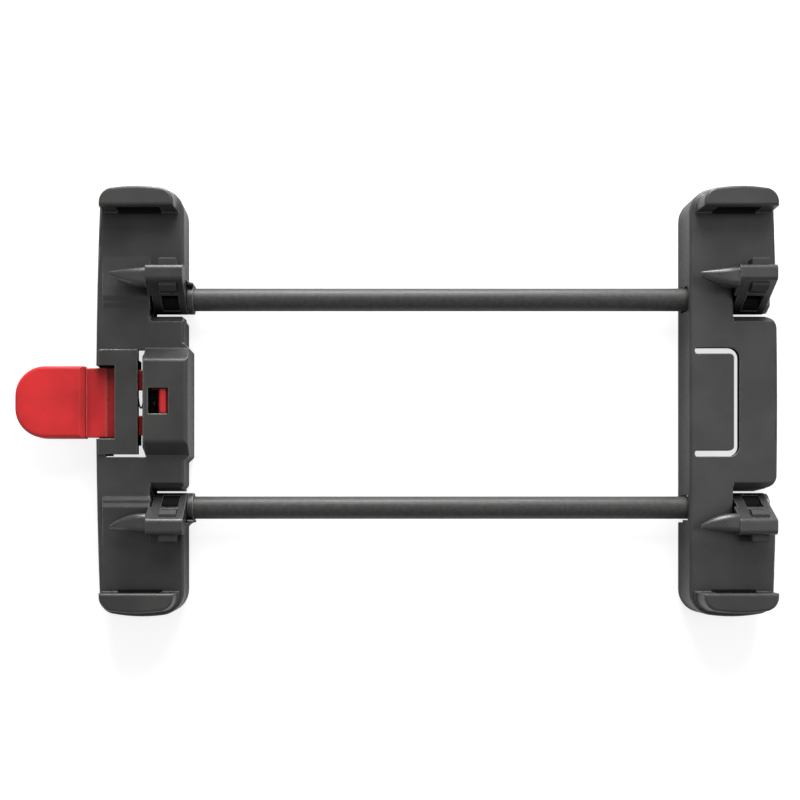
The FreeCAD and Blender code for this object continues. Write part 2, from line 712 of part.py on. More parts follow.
def add_tongue(body):
    """Slit round three sides of a spring tongue that stays joined at the inner wall."""
    sketch = new_sketch(body, "tongue_slit", "XY_Plane", "plate_height - 2*plate_skin")
    inner_x, inner_y = "tongue_end - tongue_tip_slit", "(tongue_half - tongue_slit)"
    outer_bend, bend = "tongue_end - tongue_corner", "(tongue_corner - tongue_slit)"
    outer_y = "(tongue_half - tongue_corner)"
    corners = [("tongue_start", "-tongue_half"), (outer_bend, "-tongue_half", "tongue_corner")]
    corners += [("tongue_end", f"-{outer_y}"), ("tongue_end", outer_y, "tongue_corner")]
    corners += [(outer_bend, "tongue_half"), ("tongue_start", "tongue_half", "0.6*tongue_slit")]
    corners += [("tongue_start", inner_y), (f"{inner_x} - {bend}", inner_y, bend, INWARD)]
    corners += [(inner_x, f"{inner_y} - {bend}"), (inner_x, f"{bend} - {inner_y}", bend, INWARD)]
    corners += [(f"{inner_x} - {bend}", f"-{inner_y}"), ("tongue_start", f"-{inner_y}", "0.6*tongue_slit")]
    draw_outline(sketch, corners)
    cut(body, sketch, "4*plate_skin")


def rod(label, side):
    """Rod with a flat at each end that keys the jaws and the crank."""
    start = f"{LATCH_X} + {ROD_START}"
    body = new_body(label, start, f"{side}*{ROD_Y}", "rod_height")
    section = new_sketch(body, f"{label}_section", "YZ_Plane")
    draw_circle(section, "0", "0", "rod_diameter/2")
    pad(body, section, f"({FAR_X} + {ROD_END}) - ({start})")
    flats = (("0", f"{LATCH_JAW_X} + jaw_length - ({ROD_START})"),
             (f"({FAR_X} + {FAR_JAW_X} + jaw_collar) - ({start})", f"{ROD_END} - ({FAR_JAW_X}) - jaw_collar"))
    for number, (x, length) in enumerate(flats):
        flat = new_sketch(body, f"{label}_flat_{number}", "YZ_Plane", x)
        draw_box(flat, "-rod_diameter", "rod_diameter/2 - rod_flat", "rod_diameter", "rod_diameter")
        cut(body, flat, length)
    ends = ("0", f"({FAR_X} + {ROD_END}) - ({start})")
    dress(
        body,
        f"{label}_ends",
        "rod_chamfer",
        lambda edge: spans(edge, "X") < 1e-4 and any(near(edge.BoundBox.XMin, x) for x in ends),
        "Chamfer",
    )
    return body


def jaw(label, x, side):
    """Swinging jaw: two webs on the rod, a rounded head with a slot for its grip, and a pointed nose."""
    body = new_body(label, x, f"{side}*{ROD_Y}", "rod_height")
    arm = new_sketch(body, f"{label}_arm", "YZ_Plane", "jaw_collar")
    corners = [("0", "-hub_radius", "hub_radius"), ("hub_radius", "0")]
    corners += [("hub_radius", "head_under - 1.2*head_round")]
    corners += [("head_outside", "head_under"), ("head_outside", "head_top"), ("head_inside", "head_top")]
    corners += [("-hub_radius", "hub_radius/4"), ("-hub_radius", "0", "hub_radius")]
    draw_outline(arm, [(f"{side}*({corner[0]})",) + corner[1:] for corner in corners])
    pad(body, arm, "jaw_length - jaw_collar")
    head = new_sketch(body, f"{label}_head", "YZ_Plane")
    slope = "(head_inside + hub_radius)/(head_top - hub_radius/4)"
    foot = f"head_inside - {slope}*(head_top - head_under)"
    corners = [(foot, "head_under"), ("head_outside", "head_under"), ("head_outside", "head_top")]
    corners += [("head_inside", "head_top")]
    draw_outline(head, [(f"{side}*({y})", z) for y, z in corners])
    pad(body, head, "jaw_length - jaw_collar")
    dress(
        body,
        f"{label}_head_round",
        "head_round",
        lambda edge: spans(edge, "X") > value("jaw_web") and near(edge.BoundBox.ZMax, "head_top")
        and spans(edge, "Y") < 1e-4,
    )
    hollow = new_sketch(body, f"{label}_hollow", "YZ_Plane", "jaw_collar + jaw_web")
    reach = "2*head_outside"
    low, high = sorted((f"-{side}*{reach}", f"{side}*{reach}"), key=value)
    edges = sorted((f"-{side}*(hub_radius - jaw_skin)", f"{side}*{reach}"), key=value)
    draw_box(hollow, edges[0], f"-{reach}", edges[1], "head_under")
    cut(body, hollow, "jaw_hollow")
    slot = new_sketch(body, f"{label}_slot", "YZ_Plane", "jaw_collar + jaw_web")
    draw_box(slot, low, "grip_under - seat_fit", high, "grip_top + seat_fit")
    cut(body, slot, "jaw_hollow")
    bore = new_sketch(body, f"{label}_bore", "YZ_Plane", "0")
    draw_d(bore, "seat_fit")
    cut(body, bore, "jaw_length")
    add_nose(body, label, side)
    return body


def add_nose(body, label, side):
    """Pointed nose that tapers from both sides to a rounded tip."""
    tip_y = "(nose_outside - 1.1*nose_tip)"
    tip_z = "((nose_top + nose_under)/2)"
    stations = (
        ("0", "nose_inside", "nose_outside", "nose_under", "nose_top", "nose_round"),
        ("-0.5*nose_length", "nose_inside + 0.6*nose_tip", "nose_outside - 0.4*nose_tip",
         "nose_under + 0.3*nose_tip", "nose_top - 0.2*nose_tip", "nose_round"),
        ("-nose_length", f"{tip_y} - nose_tip", tip_y, f"{tip_z} - nose_tip/2", f"{tip_z} + nose_tip/2",
         "0.4*nose_tip"),
    )
    sections = []
    for number, (x, inside, outside, under, top, radius) in enumerate(stations):
        sketch = new_sketch(body, f"{label}_nose_{number}", "YZ_Plane", x)
        low, high = sorted((f"{side}*({inside})", f"{side}*({outside})"), key=value)
        draw_box(sketch, low, under, high, top, radius)
        sections.append(sketch)
    loft(body, f"{label}_nose", sections)


def grip(label, x, side):
    """Rubber block that fills the jaw's slot and stands proud on the tube side."""
    body = new_body(label, f"{x} + jaw_collar + jaw_web", f"{side}*{ROD_Y}", "rod_height")
    section = new_sketch(body, f"{label}_section", "YZ_Plane", "seat_fit")
    low, high = sorted((f"{side}*grip_inside", f"{side}*grip_outside"), key=value)
    draw_box(section, low, "grip_under", high, "grip_top")
    pad(body, section, "jaw_hollow - 2*seat_fit")
    dress(
        body,
        f"{label}_bevel",
        "grip_bevel",
        lambda edge: near(abs(edge.BoundBox.Center.y), "grip_inside") and at_level(edge, "grip_top"),
        "Chamfer",
    )
    dress(
        body,
        f"{label}_edges",
        "grip_round",
        lambda edge: near(abs(edge.BoundBox.Center.y), "grip_outside"),
    )
    return body


def crank(label, side):
    """Sheet steel lever on the rod that the tab's ramp presses down."""
    body = new_body(label, f"{LATCH_X} - crank_place - crank_thickness", f"{side}*{ROD_Y}", "rod_height")
    shape = new_sketch(body, f"{label}_shape", "YZ_Plane")
    lean = "sqrt(crank_radius^2 - crank_top^2)"
    foot = "sqrt(crank_radius^2 - crank_under^2)"
    corners = [(f"-{foot}", "-crank_under", "crank_radius"), ("0", "-crank_radius", "crank_radius")]
    corners += [("crank_radius", "0", "crank_radius"), ("0", "crank_radius", "crank_radius")]
    corners += [(f"-{lean}", "crank_top"), ("-crank_reach", "crank_top"), ("-crank_reach", "-crank_under")]
    draw_outline(shape, [(f"{side}*({corner[0]})",) + corner[1:] for corner in corners])
    pad(body, shape, "crank_thickness")
    bore = new_sketch(body, f"{label}_bore", "YZ_Plane")
    draw_d(bore, "seat_fit")
    draw_circle(bore, f"-{side}*torsion_radius", "0", "torsion_wire/2 + torsion_hole_clearance")
    cut(body, bore, "crank_thickness")
    return body


def ring(label, x, side):
    """Push-on retaining ring at a rod's end."""
    body = new_body(label, x, f"{side}*{ROD_Y}", "rod_height")
    section = new_sketch(body, f"{label}_section", "YZ_Plane")
    draw_circle(section, "0", "0", "ring_radius")
    pad(body, section, "ring_thickness")
    bore = new_sketch(body, f"{label}_bore", "YZ_Plane")
    draw_d(bore, "seat_fit")
    cut(body, bore, "ring_thickness")
    return body


def release_tab():
    """Red pull tab: grip paddle, flat neck, two arms and a crossbar with a ramp at each end."""
    label = "release_tab"
    body = new_body(label, LATCH_X)
    neck_end = "-post_place - part_gap"
    step = "paddle_length - plate_width - tab_reach"
    paddle = new_sketch(body, "paddle", "XY_Plane", "tab_bottom")
    left = "-plate_width - tab_reach"
    half = "paddle_width/2"
    corners = [(step, f"-{half}"), (step, half), (f"{left} + paddle_corner", half, "paddle_corner")]
    corners += [(left, f"{half} - paddle_corner"), (left, f"paddle_corner - {half}", "paddle_corner")]
    corners += [(f"{left} + paddle_corner", f"-{half}")]
    draw_outline(paddle, corners)
    pad(body, paddle, "paddle_top - tab_bottom")
    dress(
        body,
        "paddle_bevel",
        "step_bevel",
        lambda edge: at_level(edge, "paddle_top") and near(edge.BoundBox.XMin, step),
        "Chamfer",
    )
    dress(
        body,
        "paddle_rim",
        "paddle_round",
        lambda edge: at_level(edge, "paddle_top") and edge.BoundBox.XMax < value(f"{step} - paddle_round"),
    )
    slider = new_sketch(body, "slider", "XY_Plane", "tab_bottom")
    wide, inner, outer = "neck_width/2", "arm_inside", "arm_outside"
    end_x = f"-({TOOTH_X})"
    bar_x = f"-({TOOTH_X}) - tooth_length"
    corners = [(f"{step} - paddle_wall", f"-{wide}"), (neck_end, f"-{wide}"), (neck_end, f"-{outer}")]
    corners += [(end_x, f"-{outer}"), (end_x, outer), (neck_end, outer), (neck_end, wide)]
    corners += [(f"{step} - paddle_wall", wide)]
    draw_outline(slider, corners)
    draw_box(slider, neck_end, f"-{inner}", bar_x, inner)
    pad(body, slider, "tab_top - tab_bottom")
    thin = new_sketch(body, "neck_step", "XY_Plane", "tab_top - neck_step")
    draw_box(thin, "-neck_step_place", "-neck_width", neck_end, "neck_width")
    cut(body, thin, "neck_step")
    core = new_sketch(body, "paddle_core", "XY_Plane", "tab_bottom")
    core_y = "paddle_width/2 - paddle_wall"
    corner = "(paddle_corner - paddle_wall)"
    draw_box(core, f"{left} + paddle_wall", f"-({core_y})", f"{step} - paddle_wall", core_y, corner)
    cut(body, core, "paddle_top - paddle_wall - tab_bottom")
    start_x = "part_gap - crank_place"
    run = f"({end_x} - ({start_x}) - rib)"
    low = f"ramp_start - {RAMP}*{run}"
    overlap = "(tab_top - tab_bottom)"
    for side, offset in ((1, "-cross_half"), (-1, f"arm_outside - {overlap}")):
        ramp = new_sketch(body, f"ramp_{NAMES[side]}", "XZ_Plane", offset)
        corners = [(start_x, "tab_top"), (start_x, "ramp_start"), (f"{start_x} + {run}", low)]
        corners += [(end_x, low), (end_x, "tab_top")]
        draw_outline(ramp, corners)
        pad(body, ramp, f"cross_half - arm_outside + {overlap}")
    tooth = new_sketch(body, "tooth", "XY_Plane", "tab_bottom")
    draw_box(tooth, bar_x, "-tooth_width/2", end_x, "tooth_width/2")
    pad(body, tooth, "tooth_top - tab_bottom")
    dress(
        body,
        "tooth_rounds",
        "tooth_round",
        lambda edge: at_level(edge, "tooth_top") and spans(edge, "Y") > 1,
    )
    return body


def helix(body, name, profile, axis, pitch, turns):
    feature = body.newObject("PartDesign::AdditiveHelix", name)
    feature.Profile = profile
    feature.ReferenceAxis = ([part for part in body.Origin.OriginFeatures if part.Role == axis][0], [""])
    feature.Mode = "pitch-turns-angle"
    feature.setExpression("Pitch", bound(pitch))
    feature.setExpression("Turns", bound(turns))
    doc.recompute()
    return feature


def tab_spring():
    """Compression spring that keeps the tab home, between the bridge's post and the crossbar."""
    start = f"{LATCH_X} - post_place + post_length + part_gap/2 + coil_wire/2"
    body = new_body("tab_spring", start, "0", "(tab_bottom + tab_top)/2 - coil_wire/2")
    wire = new_sketch(body, "coil_wire_section", "XZ_Plane")
    draw_circle(wire, "0", "coil_radius", "coil_wire/2")
    length = f"post_place - post_length - ({TOOTH_X}) - tooth_length - part_gap - coil_wire"
    helix(body, "coil", wire, "X_Axis", f"({length})/coil_turns", "coil_turns")
    return body


def torsion_spring(label, side):
    """Torsion spring round the rod beside the jaw: a leg in the bay's wall, its tail in the crank."""
    start = f"{LATCH_X} + {LEG_X}"
    body = new_body(label, start, f"{side}*{ROD_Y}", "rod_height")
    wire = new_sketch(body, f"{label}_section", "XZ_Plane")
    draw_circle(wire, "0", "-torsion_radius", "torsion_wire/2")
    coil = helix(body, f"{label}_coil", wire, "X_Axis", "torsion_pitch", "torsion_turns")
    coil.LeftHanded = side > 0
    doc.recompute()
    tail = new_sketch(body, f"{label}_tail", "YZ_Plane", "torsion_turns*torsion_pitch - torsion_wire/4")
    draw_circle(tail, f"-{side}*torsion_radius", "0", "torsion_wire/2")
    pad(body, tail, "torsion_place - crank_place + torsion_wire/2")
    leg = new_sketch(body, f"{label}_leg", "XZ_Plane", "-torsion_leg" if side > 0 else "0")
    draw_circle(leg, "0", "-torsion_radius", "torsion_wire/2")
    pad(body, leg, "torsion_leg")
    return body


pieces = [latch_plate(), far_plate(), release_tab(), tab_spring()]
for word, side in (("upper", 1), ("lower", -1)):
    pieces.append(rod(f"{word}_rod", side))
    pieces.append(torsion_spring(f"{word}_torsion_spring", side))
    pieces.append(crank(f"{word}_crank", side))
    pieces.append(ring(f"{word}_latch_ring", f"{LATCH_X} + {ROD_START} + ring_thickness", side))
    pieces.append(ring(f"{word}_far_ring", f"{FAR_X} + {ROD_END} - 2*ring_thickness", side))
    for end, x in (("latch", f"{LATCH_X} + {LATCH_JAW_X}"), ("far", f"{FAR_X} + {FAR_JAW_X}")):
        pieces.append(jaw(f"{word}_{end}_jaw", x, side))
        pieces.append(grip(f"{word}_{end}_grip", x, side))

for piece in pieces:
    piece.Tip.Refine = True
doc.recompute()
for item in doc.Objects:
    if "Invalid" in item.State or "Error" in item.State:
        raise ValueError(f"{item.Label} failed: {item.State}")
for piece in pieces:
    if piece.Shape.isNull() or not piece.Shape.isValid() or len(piece.Shape.Solids) != 1:
        raise ValueError(f"{piece.Label} is not one valid solid")

os.makedirs("parts", exist_ok=True)
for piece in pieces:
    piece.Shape.exportStep(f"parts/{piece.Label}.step")
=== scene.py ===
import math

import bmesh
import bpy
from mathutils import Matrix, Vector


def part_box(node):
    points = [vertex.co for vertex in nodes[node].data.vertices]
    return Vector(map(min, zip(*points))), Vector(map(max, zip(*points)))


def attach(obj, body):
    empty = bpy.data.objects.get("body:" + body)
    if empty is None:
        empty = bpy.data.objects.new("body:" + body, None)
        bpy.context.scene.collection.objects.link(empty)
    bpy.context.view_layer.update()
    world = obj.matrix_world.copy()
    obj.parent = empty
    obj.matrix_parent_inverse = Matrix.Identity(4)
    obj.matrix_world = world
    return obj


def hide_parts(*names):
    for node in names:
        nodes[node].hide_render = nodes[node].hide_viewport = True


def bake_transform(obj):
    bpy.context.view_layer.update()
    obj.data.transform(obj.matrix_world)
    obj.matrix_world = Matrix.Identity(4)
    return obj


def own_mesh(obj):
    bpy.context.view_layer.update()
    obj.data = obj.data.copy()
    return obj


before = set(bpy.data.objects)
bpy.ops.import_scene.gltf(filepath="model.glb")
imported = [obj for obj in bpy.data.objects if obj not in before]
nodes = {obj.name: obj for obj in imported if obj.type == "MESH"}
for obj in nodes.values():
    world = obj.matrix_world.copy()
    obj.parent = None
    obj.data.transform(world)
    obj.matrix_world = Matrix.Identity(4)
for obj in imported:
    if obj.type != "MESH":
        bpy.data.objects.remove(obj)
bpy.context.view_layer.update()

# End plates: two black mouldings of glass-filled nylon with a fine spark-eroded grain.
# They are moulded in one shot with their lips and ribs, and the rods hold them together.
# Paler edge colour: partly wear, partly a painted highlight where rounded edges catch the light.
PLATE_BLACK, PLATE_WORN_HIGHLIGHT = (0.034, 0.0355, 0.0335), (0.25, 0.255, 0.245)
# Painted shade: a near-black that faces go to deep in hollows and corners, found by ambient
# occlusion.
HOLLOW_SHADE = (0.006, 0.006, 0.006)
HOLLOW_SHADE_REACH, HOLLOW_SHADE_SPAN = 0.008, (0.3, 0.8)
EDGE_SPAN = (0.965, 0.78)
NARROW_SPAN, WIDE_SPAN = (0.35, 0.65), (0.3, 0.7)
CLOUD_SCALE, CLOUD_DARK, CLOUD_PALE = 60.0, 0.82, 1.18
SCUFF_SCALE, SCUFF_WEAR = 900.0, (0.4, 1.0)
SCUFF_SMOOTHER, SCUFF_ROUGHER = 0.06, 0.07
PIT_DEPTH = 0.00006
NEAR_SAMPLES = 6


def add_node(tree, kind, **sockets):
    """A shader node with its input sockets set by name."""
    node = tree.nodes.new(kind)
    for name, content in sockets.items():
        node.inputs[name.replace("_", " ")].default_value = content
    return node


def noise(tree, place, scale, detail, roughness=0.5):
    """Noise in metres of the object, so that a scale of 1000 has features of about a millimetre."""
    texture = add_node(tree, "ShaderNodeTexNoise", Scale=scale, Detail=detail, Roughness=roughness)
    tree.links.new(place.outputs["Object"], texture.inputs["Vector"])
    return texture.outputs["Fac"]


def ramp(tree, source, span, result=(0.0, 1.0)):
    """Source over a span turned into a value between the two of the result."""
    spread = add_node(
        tree, "ShaderNodeMapRange",
        From_Min=span[0], From_Max=span[1], To_Min=result[0], To_Max=result[1],
    )
    tree.links.new(source, spread.inputs["Value"])
    return spread.outputs["Result"]


def combine(tree, operation, *parts):
    """Result of a maths node, with each part a number or a socket."""
    node = tree.nodes.new("ShaderNodeMath")
    node.operation = operation
    for socket, part in zip(node.inputs, parts):
        if isinstance(part, float):
            socket.default_value = part
        else:
            tree.links.new(part, socket)
    return node.outputs["Value"]


def blend_colours(tree, share, first, last):
    """Two colours, each given as numbers or as a socket, mixed by a share from 0 to 1."""
    mix = tree.nodes.new("ShaderNodeMix")
    mix.data_type = "RGBA"
    tree.links.new(share, mix.inputs["Factor"])
    for socket, colour in (("A", first), ("B", last)):
        target = [entry for entry in mix.inputs if entry.name == socket and entry.type == "RGBA"][0]
        if isinstance(colour, tuple):
            target.default_value = (*colour, 1.0)
        else:
            tree.links.new(colour, target)
    return [entry for entry in mix.outputs if entry.type == "RGBA"][0]


def edge_share(tree, radius):
    """The rounded normal, and a share near 1 along sharp edges and 0 on open faces."""
    rounded = add_node(tree, "ShaderNodeBevel", Radius=radius)
    rounded.samples = NEAR_SAMPLES
    flat = tree.nodes.new("ShaderNodeNewGeometry")
    turn = tree.nodes.new("ShaderNodeVectorMath")
    turn.operation = "DOT_PRODUCT"
    tree.links.new(rounded.outputs["Normal"], turn.inputs[0])
    tree.links.new(flat.outputs["Normal"], turn.inputs[1])
    return rounded.outputs["Normal"], ramp(tree, turn.outputs["Value"], EDGE_SPAN)


def hollow_shade_share(tree):
    """Near 0 deep in hollows and corners, where painted shade falls, and 1 on open faces."""
    openness = add_node(tree, "ShaderNodeAmbientOcclusion", Distance=HOLLOW_SHADE_REACH)
    openness.samples = NEAR_SAMPLES
    return ramp(tree, openness.outputs["AO"], HOLLOW_SHADE_SPAN)


def new_material(name):
    """An empty finish: the material, its node tree, its shader and its coordinates."""
    material = bpy.data.materials.new(name)
    material.use_nodes = True
    tree = material.node_tree
    return material, tree, tree.nodes["Principled BSDF"], tree.nodes.new("ShaderNodeTexCoord")


def add_relief(tree, shader, height, strength, depth):
    """Fine relief on the shader's normal. Gives back its node, for a normal to start from."""
    relief = add_node(tree, "ShaderNodeBump", Strength=strength, Distance=depth)
    tree.links.new(height, relief.inputs["Height"])
    tree.links.new(relief.outputs["Normal"], shader.inputs["Normal"])
    return relief


def moulded_plastic(name, colour, worn_highlight, grain, rough, edge, specular, relief=0.15, shade_colour=HOLLOW_SHADE):
    """Moulded plastic: cloudy colour, painted shade in hollows and corners, paler edges as wear and
    painted highlight, and a grain in both relief and gloss.
    """
    material, tree, shader, place = new_material(name)
    shader.inputs["Specular IOR Level"].default_value = specular
    normal, edges = edge_share(tree, edge)
    clouds = noise(tree, place, CLOUD_SCALE, detail=4.0)
    scuffs = noise(tree, place, SCUFF_SCALE, detail=3.0, roughness=0.7)
    pits = noise(tree, place, grain, detail=2.0, roughness=0.6)
    darker = tuple(CLOUD_DARK * part for part in colour)
    paler = tuple(CLOUD_PALE * part for part in colour)
    body = blend_colours(tree, ramp(tree, clouds, NARROW_SPAN), darker, paler)
    # Painted shade in hollows and corners.
    body = blend_colours(tree, hollow_shade_share(tree), shade_colour, body)
    # Paler edges, partly wear and partly painted highlight, broken up by the scuffs.
    worn_highlight_share = combine(tree, "MULTIPLY", edges, ramp(tree, scuffs, WIDE_SPAN, SCUFF_WEAR))
    tree.links.new(blend_colours(tree, worn_highlight_share, body, worn_highlight), shader.inputs["Base Color"])
    gloss = ramp(tree, scuffs, WIDE_SPAN, (rough - SCUFF_SMOOTHER, rough + SCUFF_ROUGHER))
    tree.links.new(gloss, shader.inputs["Roughness"])
    pitted = add_relief(tree, shader, pits, relief, PIT_DEPTH)
    tree.links.new(normal, pitted.inputs["Normal"])
    return material


def dress(material, *names):
    """Gives nodes of the frame their finish."""
    for name in names:
        nodes[name].data.materials.clear()
        nodes[name].data.materials.append(material)


plate_nylon = moulded_plastic(
    "grained_nylon", PLATE_BLACK, PLATE_WORN_HIGHLIGHT, grain=3500.0, rough=0.34, edge=0.0007, specular=0.42
)
dress(plate_nylon, "latch_end_plate", "far_end_plate")

# Rods: 8 mm steel rods with a thin satin black coat, drawn lengthwise.
# They turn in the plates and are held by a ring at each end.
ROD_BLACK, ROD_PALER = (0.042, 0.042, 0.041), 1.3
ROD_SPECULAR, ROD_SATIN, ROD_DULLED = 0.22, (0.33, 0.46), 0.5
DRAWN_STRETCH, DRAWN_SCALE, SPECK_SCALE = 0.02, 2600.0, 700.0
DRAWN_RELIEF, DRAWN_DEPTH = 0.12, 0.00003
# Painted shade: the rod's ends, inside the plates and jaws, go near black and dull.
DEEP_SHADE = (0.004, 0.004, 0.004)
ROD_SHADE_START, ROD_SHADE_FULL = 0.002, 0.006
BARE_START, BARE_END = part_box("latch_end_plate")[1].x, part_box("far_end_plate")[0].x


def coated_rod(name, colour):
    """Satin coat with faint drawing lines along it, and painted shade, dark and dull, on the ends
    where it turns in the plates.
    """
    material, tree, shader, place = new_material(name)
    shader.inputs["Specular IOR Level"].default_value = ROD_SPECULAR
    stretch = add_node(tree, "ShaderNodeMapping", Scale=(DRAWN_STRETCH, 1.0, 1.0))
    tree.links.new(place.outputs["Object"], stretch.inputs["Vector"])
    lines = add_node(tree, "ShaderNodeTexNoise", Scale=DRAWN_SCALE, Detail=3.0)
    tree.links.new(stretch.outputs["Vector"], lines.inputs["Vector"])
    specks = ramp(tree, noise(tree, place, SPECK_SCALE, detail=3.0), NARROW_SPAN)
    tint = blend_colours(tree, specks, colour, tuple(ROD_PALER * part for part in colour))
    along = tree.nodes.new("ShaderNodeSeparateXYZ")
    tree.links.new(place.outputs["Object"], along.inputs["Vector"])
    half, middle = (BARE_END - BARE_START) / 2, (BARE_END + BARE_START) / 2
    reach = combine(tree, "ABSOLUTE", combine(tree, "SUBTRACT", along.outputs["X"], middle))
    # Painted shade on the ends beyond the bare span between the plates.
    shaded_ends = ramp(tree, reach, (half + ROD_SHADE_START, half + ROD_SHADE_FULL))
    tree.links.new(blend_colours(tree, shaded_ends, tint, DEEP_SHADE), shader.inputs["Base Color"])
    satin = ramp(tree, lines.outputs["Fac"], WIDE_SPAN, ROD_SATIN)
    gloss = combine(tree, "MULTIPLY_ADD", shaded_ends, ROD_DULLED, satin)
    tree.links.new(gloss, shader.inputs["Roughness"])
    add_relief(tree, shader, lines.outputs["Fac"], DRAWN_RELIEF, DRAWN_DEPTH)
    return material


dress(coated_rod("satin_coat", ROD_BLACK), "upper_rod", "lower_rod")

# Jaws and grips: four black nylon levers keyed to the rods, each with a pointed nose.
# A square block is pressed through each head and stands out towards the tube.
# Thin walls of the hubs close round the rods between the webs, near black as a painted shade.
# Grip edges are paler as wear and painted highlight.
GRIP_BLACK, GRIP_WORN_HIGHLIGHT = (0.03, 0.031, 0.03), (0.09, 0.09, 0.09)
HUB_RADIUS, HUB_FIT, HUB_STEPS = 0.005, 0.00008, 28
COLLAR_RADIUS, COLLAR_LENGTH = 0.00563, 0.0014
INNER_ARC = (math.radians(95), math.radians(265))
OUTER_ARC = (math.radians(-50), math.radians(50))
jaw_nylon = moulded_plastic(
    "jaw_nylon", PLATE_BLACK, PLATE_WORN_HIGHLIGHT,
    grain=3800.0, rough=0.3, edge=0.0004, specular=0.45, relief=0.1,
)
grip_rubber = moulded_plastic(
    "grip_rubber", GRIP_BLACK, GRIP_WORN_HIGHLIGHT, grain=5200.0, rough=0.6, edge=0.0003, specular=0.25
)
# Painted shade: the hub walls are near black, with edges in the hollow-shade black.
hub_shade_nylon = moulded_plastic(
    "hub_shade_nylon", DEEP_SHADE, HOLLOW_SHADE, grain=3800.0, rough=0.6, edge=0.0003, specular=0.08
)


def add_piece(name, shape, material):
    """A new piece from a finished shape, with its finish."""
    bmesh.ops.recalc_face_normals(shape, faces=shape.faces)
    mesh = bpy.data.meshes.new(name)
    shape.to_mesh(mesh)
    shape.free()
    mesh.materials.append(material)
    piece = bpy.data.objects.new(name, mesh)
    bpy.context.scene.collection.objects.link(piece)
    return piece


def rod_axis(side):
    """Middle of a rod, and its radius."""
    low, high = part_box(f"{side}_rod")
    return (low + high) / 2, (high.z - low.z) / 2


def hub_shell(name, side, span, arc, radius, material):
    """Part of a jaw's hub that hugs the rod over an arc, between two places along the rod."""
    axis, rod_radius = rod_axis(side)
    bore = rod_radius + HUB_FIT
    outward = 1 if side == "upper" else -1
    section = [(span[0], bore), (span[1], bore), (span[1], radius), (span[0], radius)]
    shape = bmesh.new()
    rings = []
    for step in range(HUB_STEPS + 1):
        angle = arc[0] + (arc[1] - arc[0]) * step / HUB_STEPS
        across, up = outward * math.cos(angle), math.sin(angle)
        spots = [(x, axis.y + away * across, axis.z + away * up) for x, away in section]
        rings.append([shape.verts.new(spot) for spot in spots])
    for ring, following in zip(rings, rings[1:]):
        for corner in range(len(section)):
            after = (corner + 1) % len(section)
            shape.faces.new((ring[corner], ring[after], following[after], following[corner]))
    shape.faces.new(rings[0])
    shape.faces.new(rings[-1])
    shell = add_piece(name, shape, material)
    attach(shell, f"{side}_shaft")


for side in ("upper", "lower"):
    for end in ("latch", "far"):
        dress(jaw_nylon, f"{side}_{end}_jaw")
        dress(grip_rubber, f"{side}_{end}_grip")
        slot_low, slot_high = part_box(f"{side}_{end}_grip")
        span = (slot_low.x, slot_high.x)
        hub_shell(f"{side}_{end}_hub", side, span, INNER_ARC, HUB_RADIUS, hub_shade_nylon)
    jaw_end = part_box(f"{side}_latch_jaw")[1].x
    span = (jaw_end - COLLAR_LENGTH, jaw_end)
    hub_shell(f"{side}_latch_collar", side, span, OUTER_ARC, COLLAR_RADIUS, jaw_nylon)

# Lip pads: thin near-black strips, one under each lip where the tube bears, given as rubber cut from
# sheet. Laid in the undercut, they paint its shade as a dark line along the lip's foot.
PLATE_FACE = 0.015
PAD_MIDDLES = {"latch": -0.09, "far": 0.1183}
PAD_HALF, PAD_THICKNESS, PAD_SUNK = 0.0074, 0.0004, 0.00003
PAD_FRONT, PAD_BACK, PAD_EDGE = 0.0659, 0.0701, 0.00015
# Painted shade in the undercut: the strips are near black.
undercut_shade_strip = moulded_plastic(
    "undercut_shade_strip", DEEP_SHADE, GRIP_BLACK, grain=5200.0, rough=0.7, edge=PAD_EDGE, specular=0.15
)


def lip_pad(name, middle, outward):
    """A strip with softened edges, from just outside the lip's edge to the undercut's back."""
    shape = bmesh.new()
    bmesh.ops.create_cube(shape, size=1.0)
    for vert in shape.verts:
        along = math.copysign(PAD_HALF, vert.co.x)
        across = PAD_FRONT if vert.co.y < 0 else PAD_BACK
        above = -PAD_SUNK if vert.co.z < 0 else PAD_THICKNESS
        vert.co = (middle + along, outward * across, PLATE_FACE + above)
    bmesh.ops.bevel(shape, geom=list(shape.edges), offset=PAD_EDGE, segments=2, affect="EDGES")
    pad = add_piece(name, shape, undercut_shade_strip)
    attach(pad, "frame")


for side, outward in (("upper", 1), ("lower", -1)):
    for end, middle in PAD_MIDDLES.items():
        lip_pad(f"{side}_{end}_pad", middle, outward)

# Pull tab: one red moulding in satin polypropylene, with a paddle for the thumb.
# It slides under the bridge of the latch plate and is pushed home by a coil spring.
# The tab's paler edges are wear and painted highlight; its dark red is painted shade in its hollows.
TAB_RED, TAB_WORN_HIGHLIGHT, TAB_SHADE = (0.49, 0.021, 0.023), (0.9, 0.24, 0.22), (0.24, 0.004, 0.006)
red_moulding = moulded_plastic(
    "red_moulding", TAB_RED, TAB_WORN_HIGHLIGHT,
    grain=2200.0, rough=0.38, edge=0.0008, specular=0.26, shade_colour=TAB_SHADE,
)
dress(red_moulding, "release_tab")

# Cranks and rings: small stamped parts of oiled spring steel.
# The cranks are keyed to the rods behind the latch plate, and the rings snap on to the rods' ends.
STEEL, STEEL_DARK, STEEL_GLOSS = (0.3, 0.3, 0.31), 0.6, (0.25, 0.45)
FILM_SCALE, STAMPED_SCALE = 500.0, 6000.0
STAMPED_RELIEF, STAMPED_DEPTH = 0.2, 0.00002


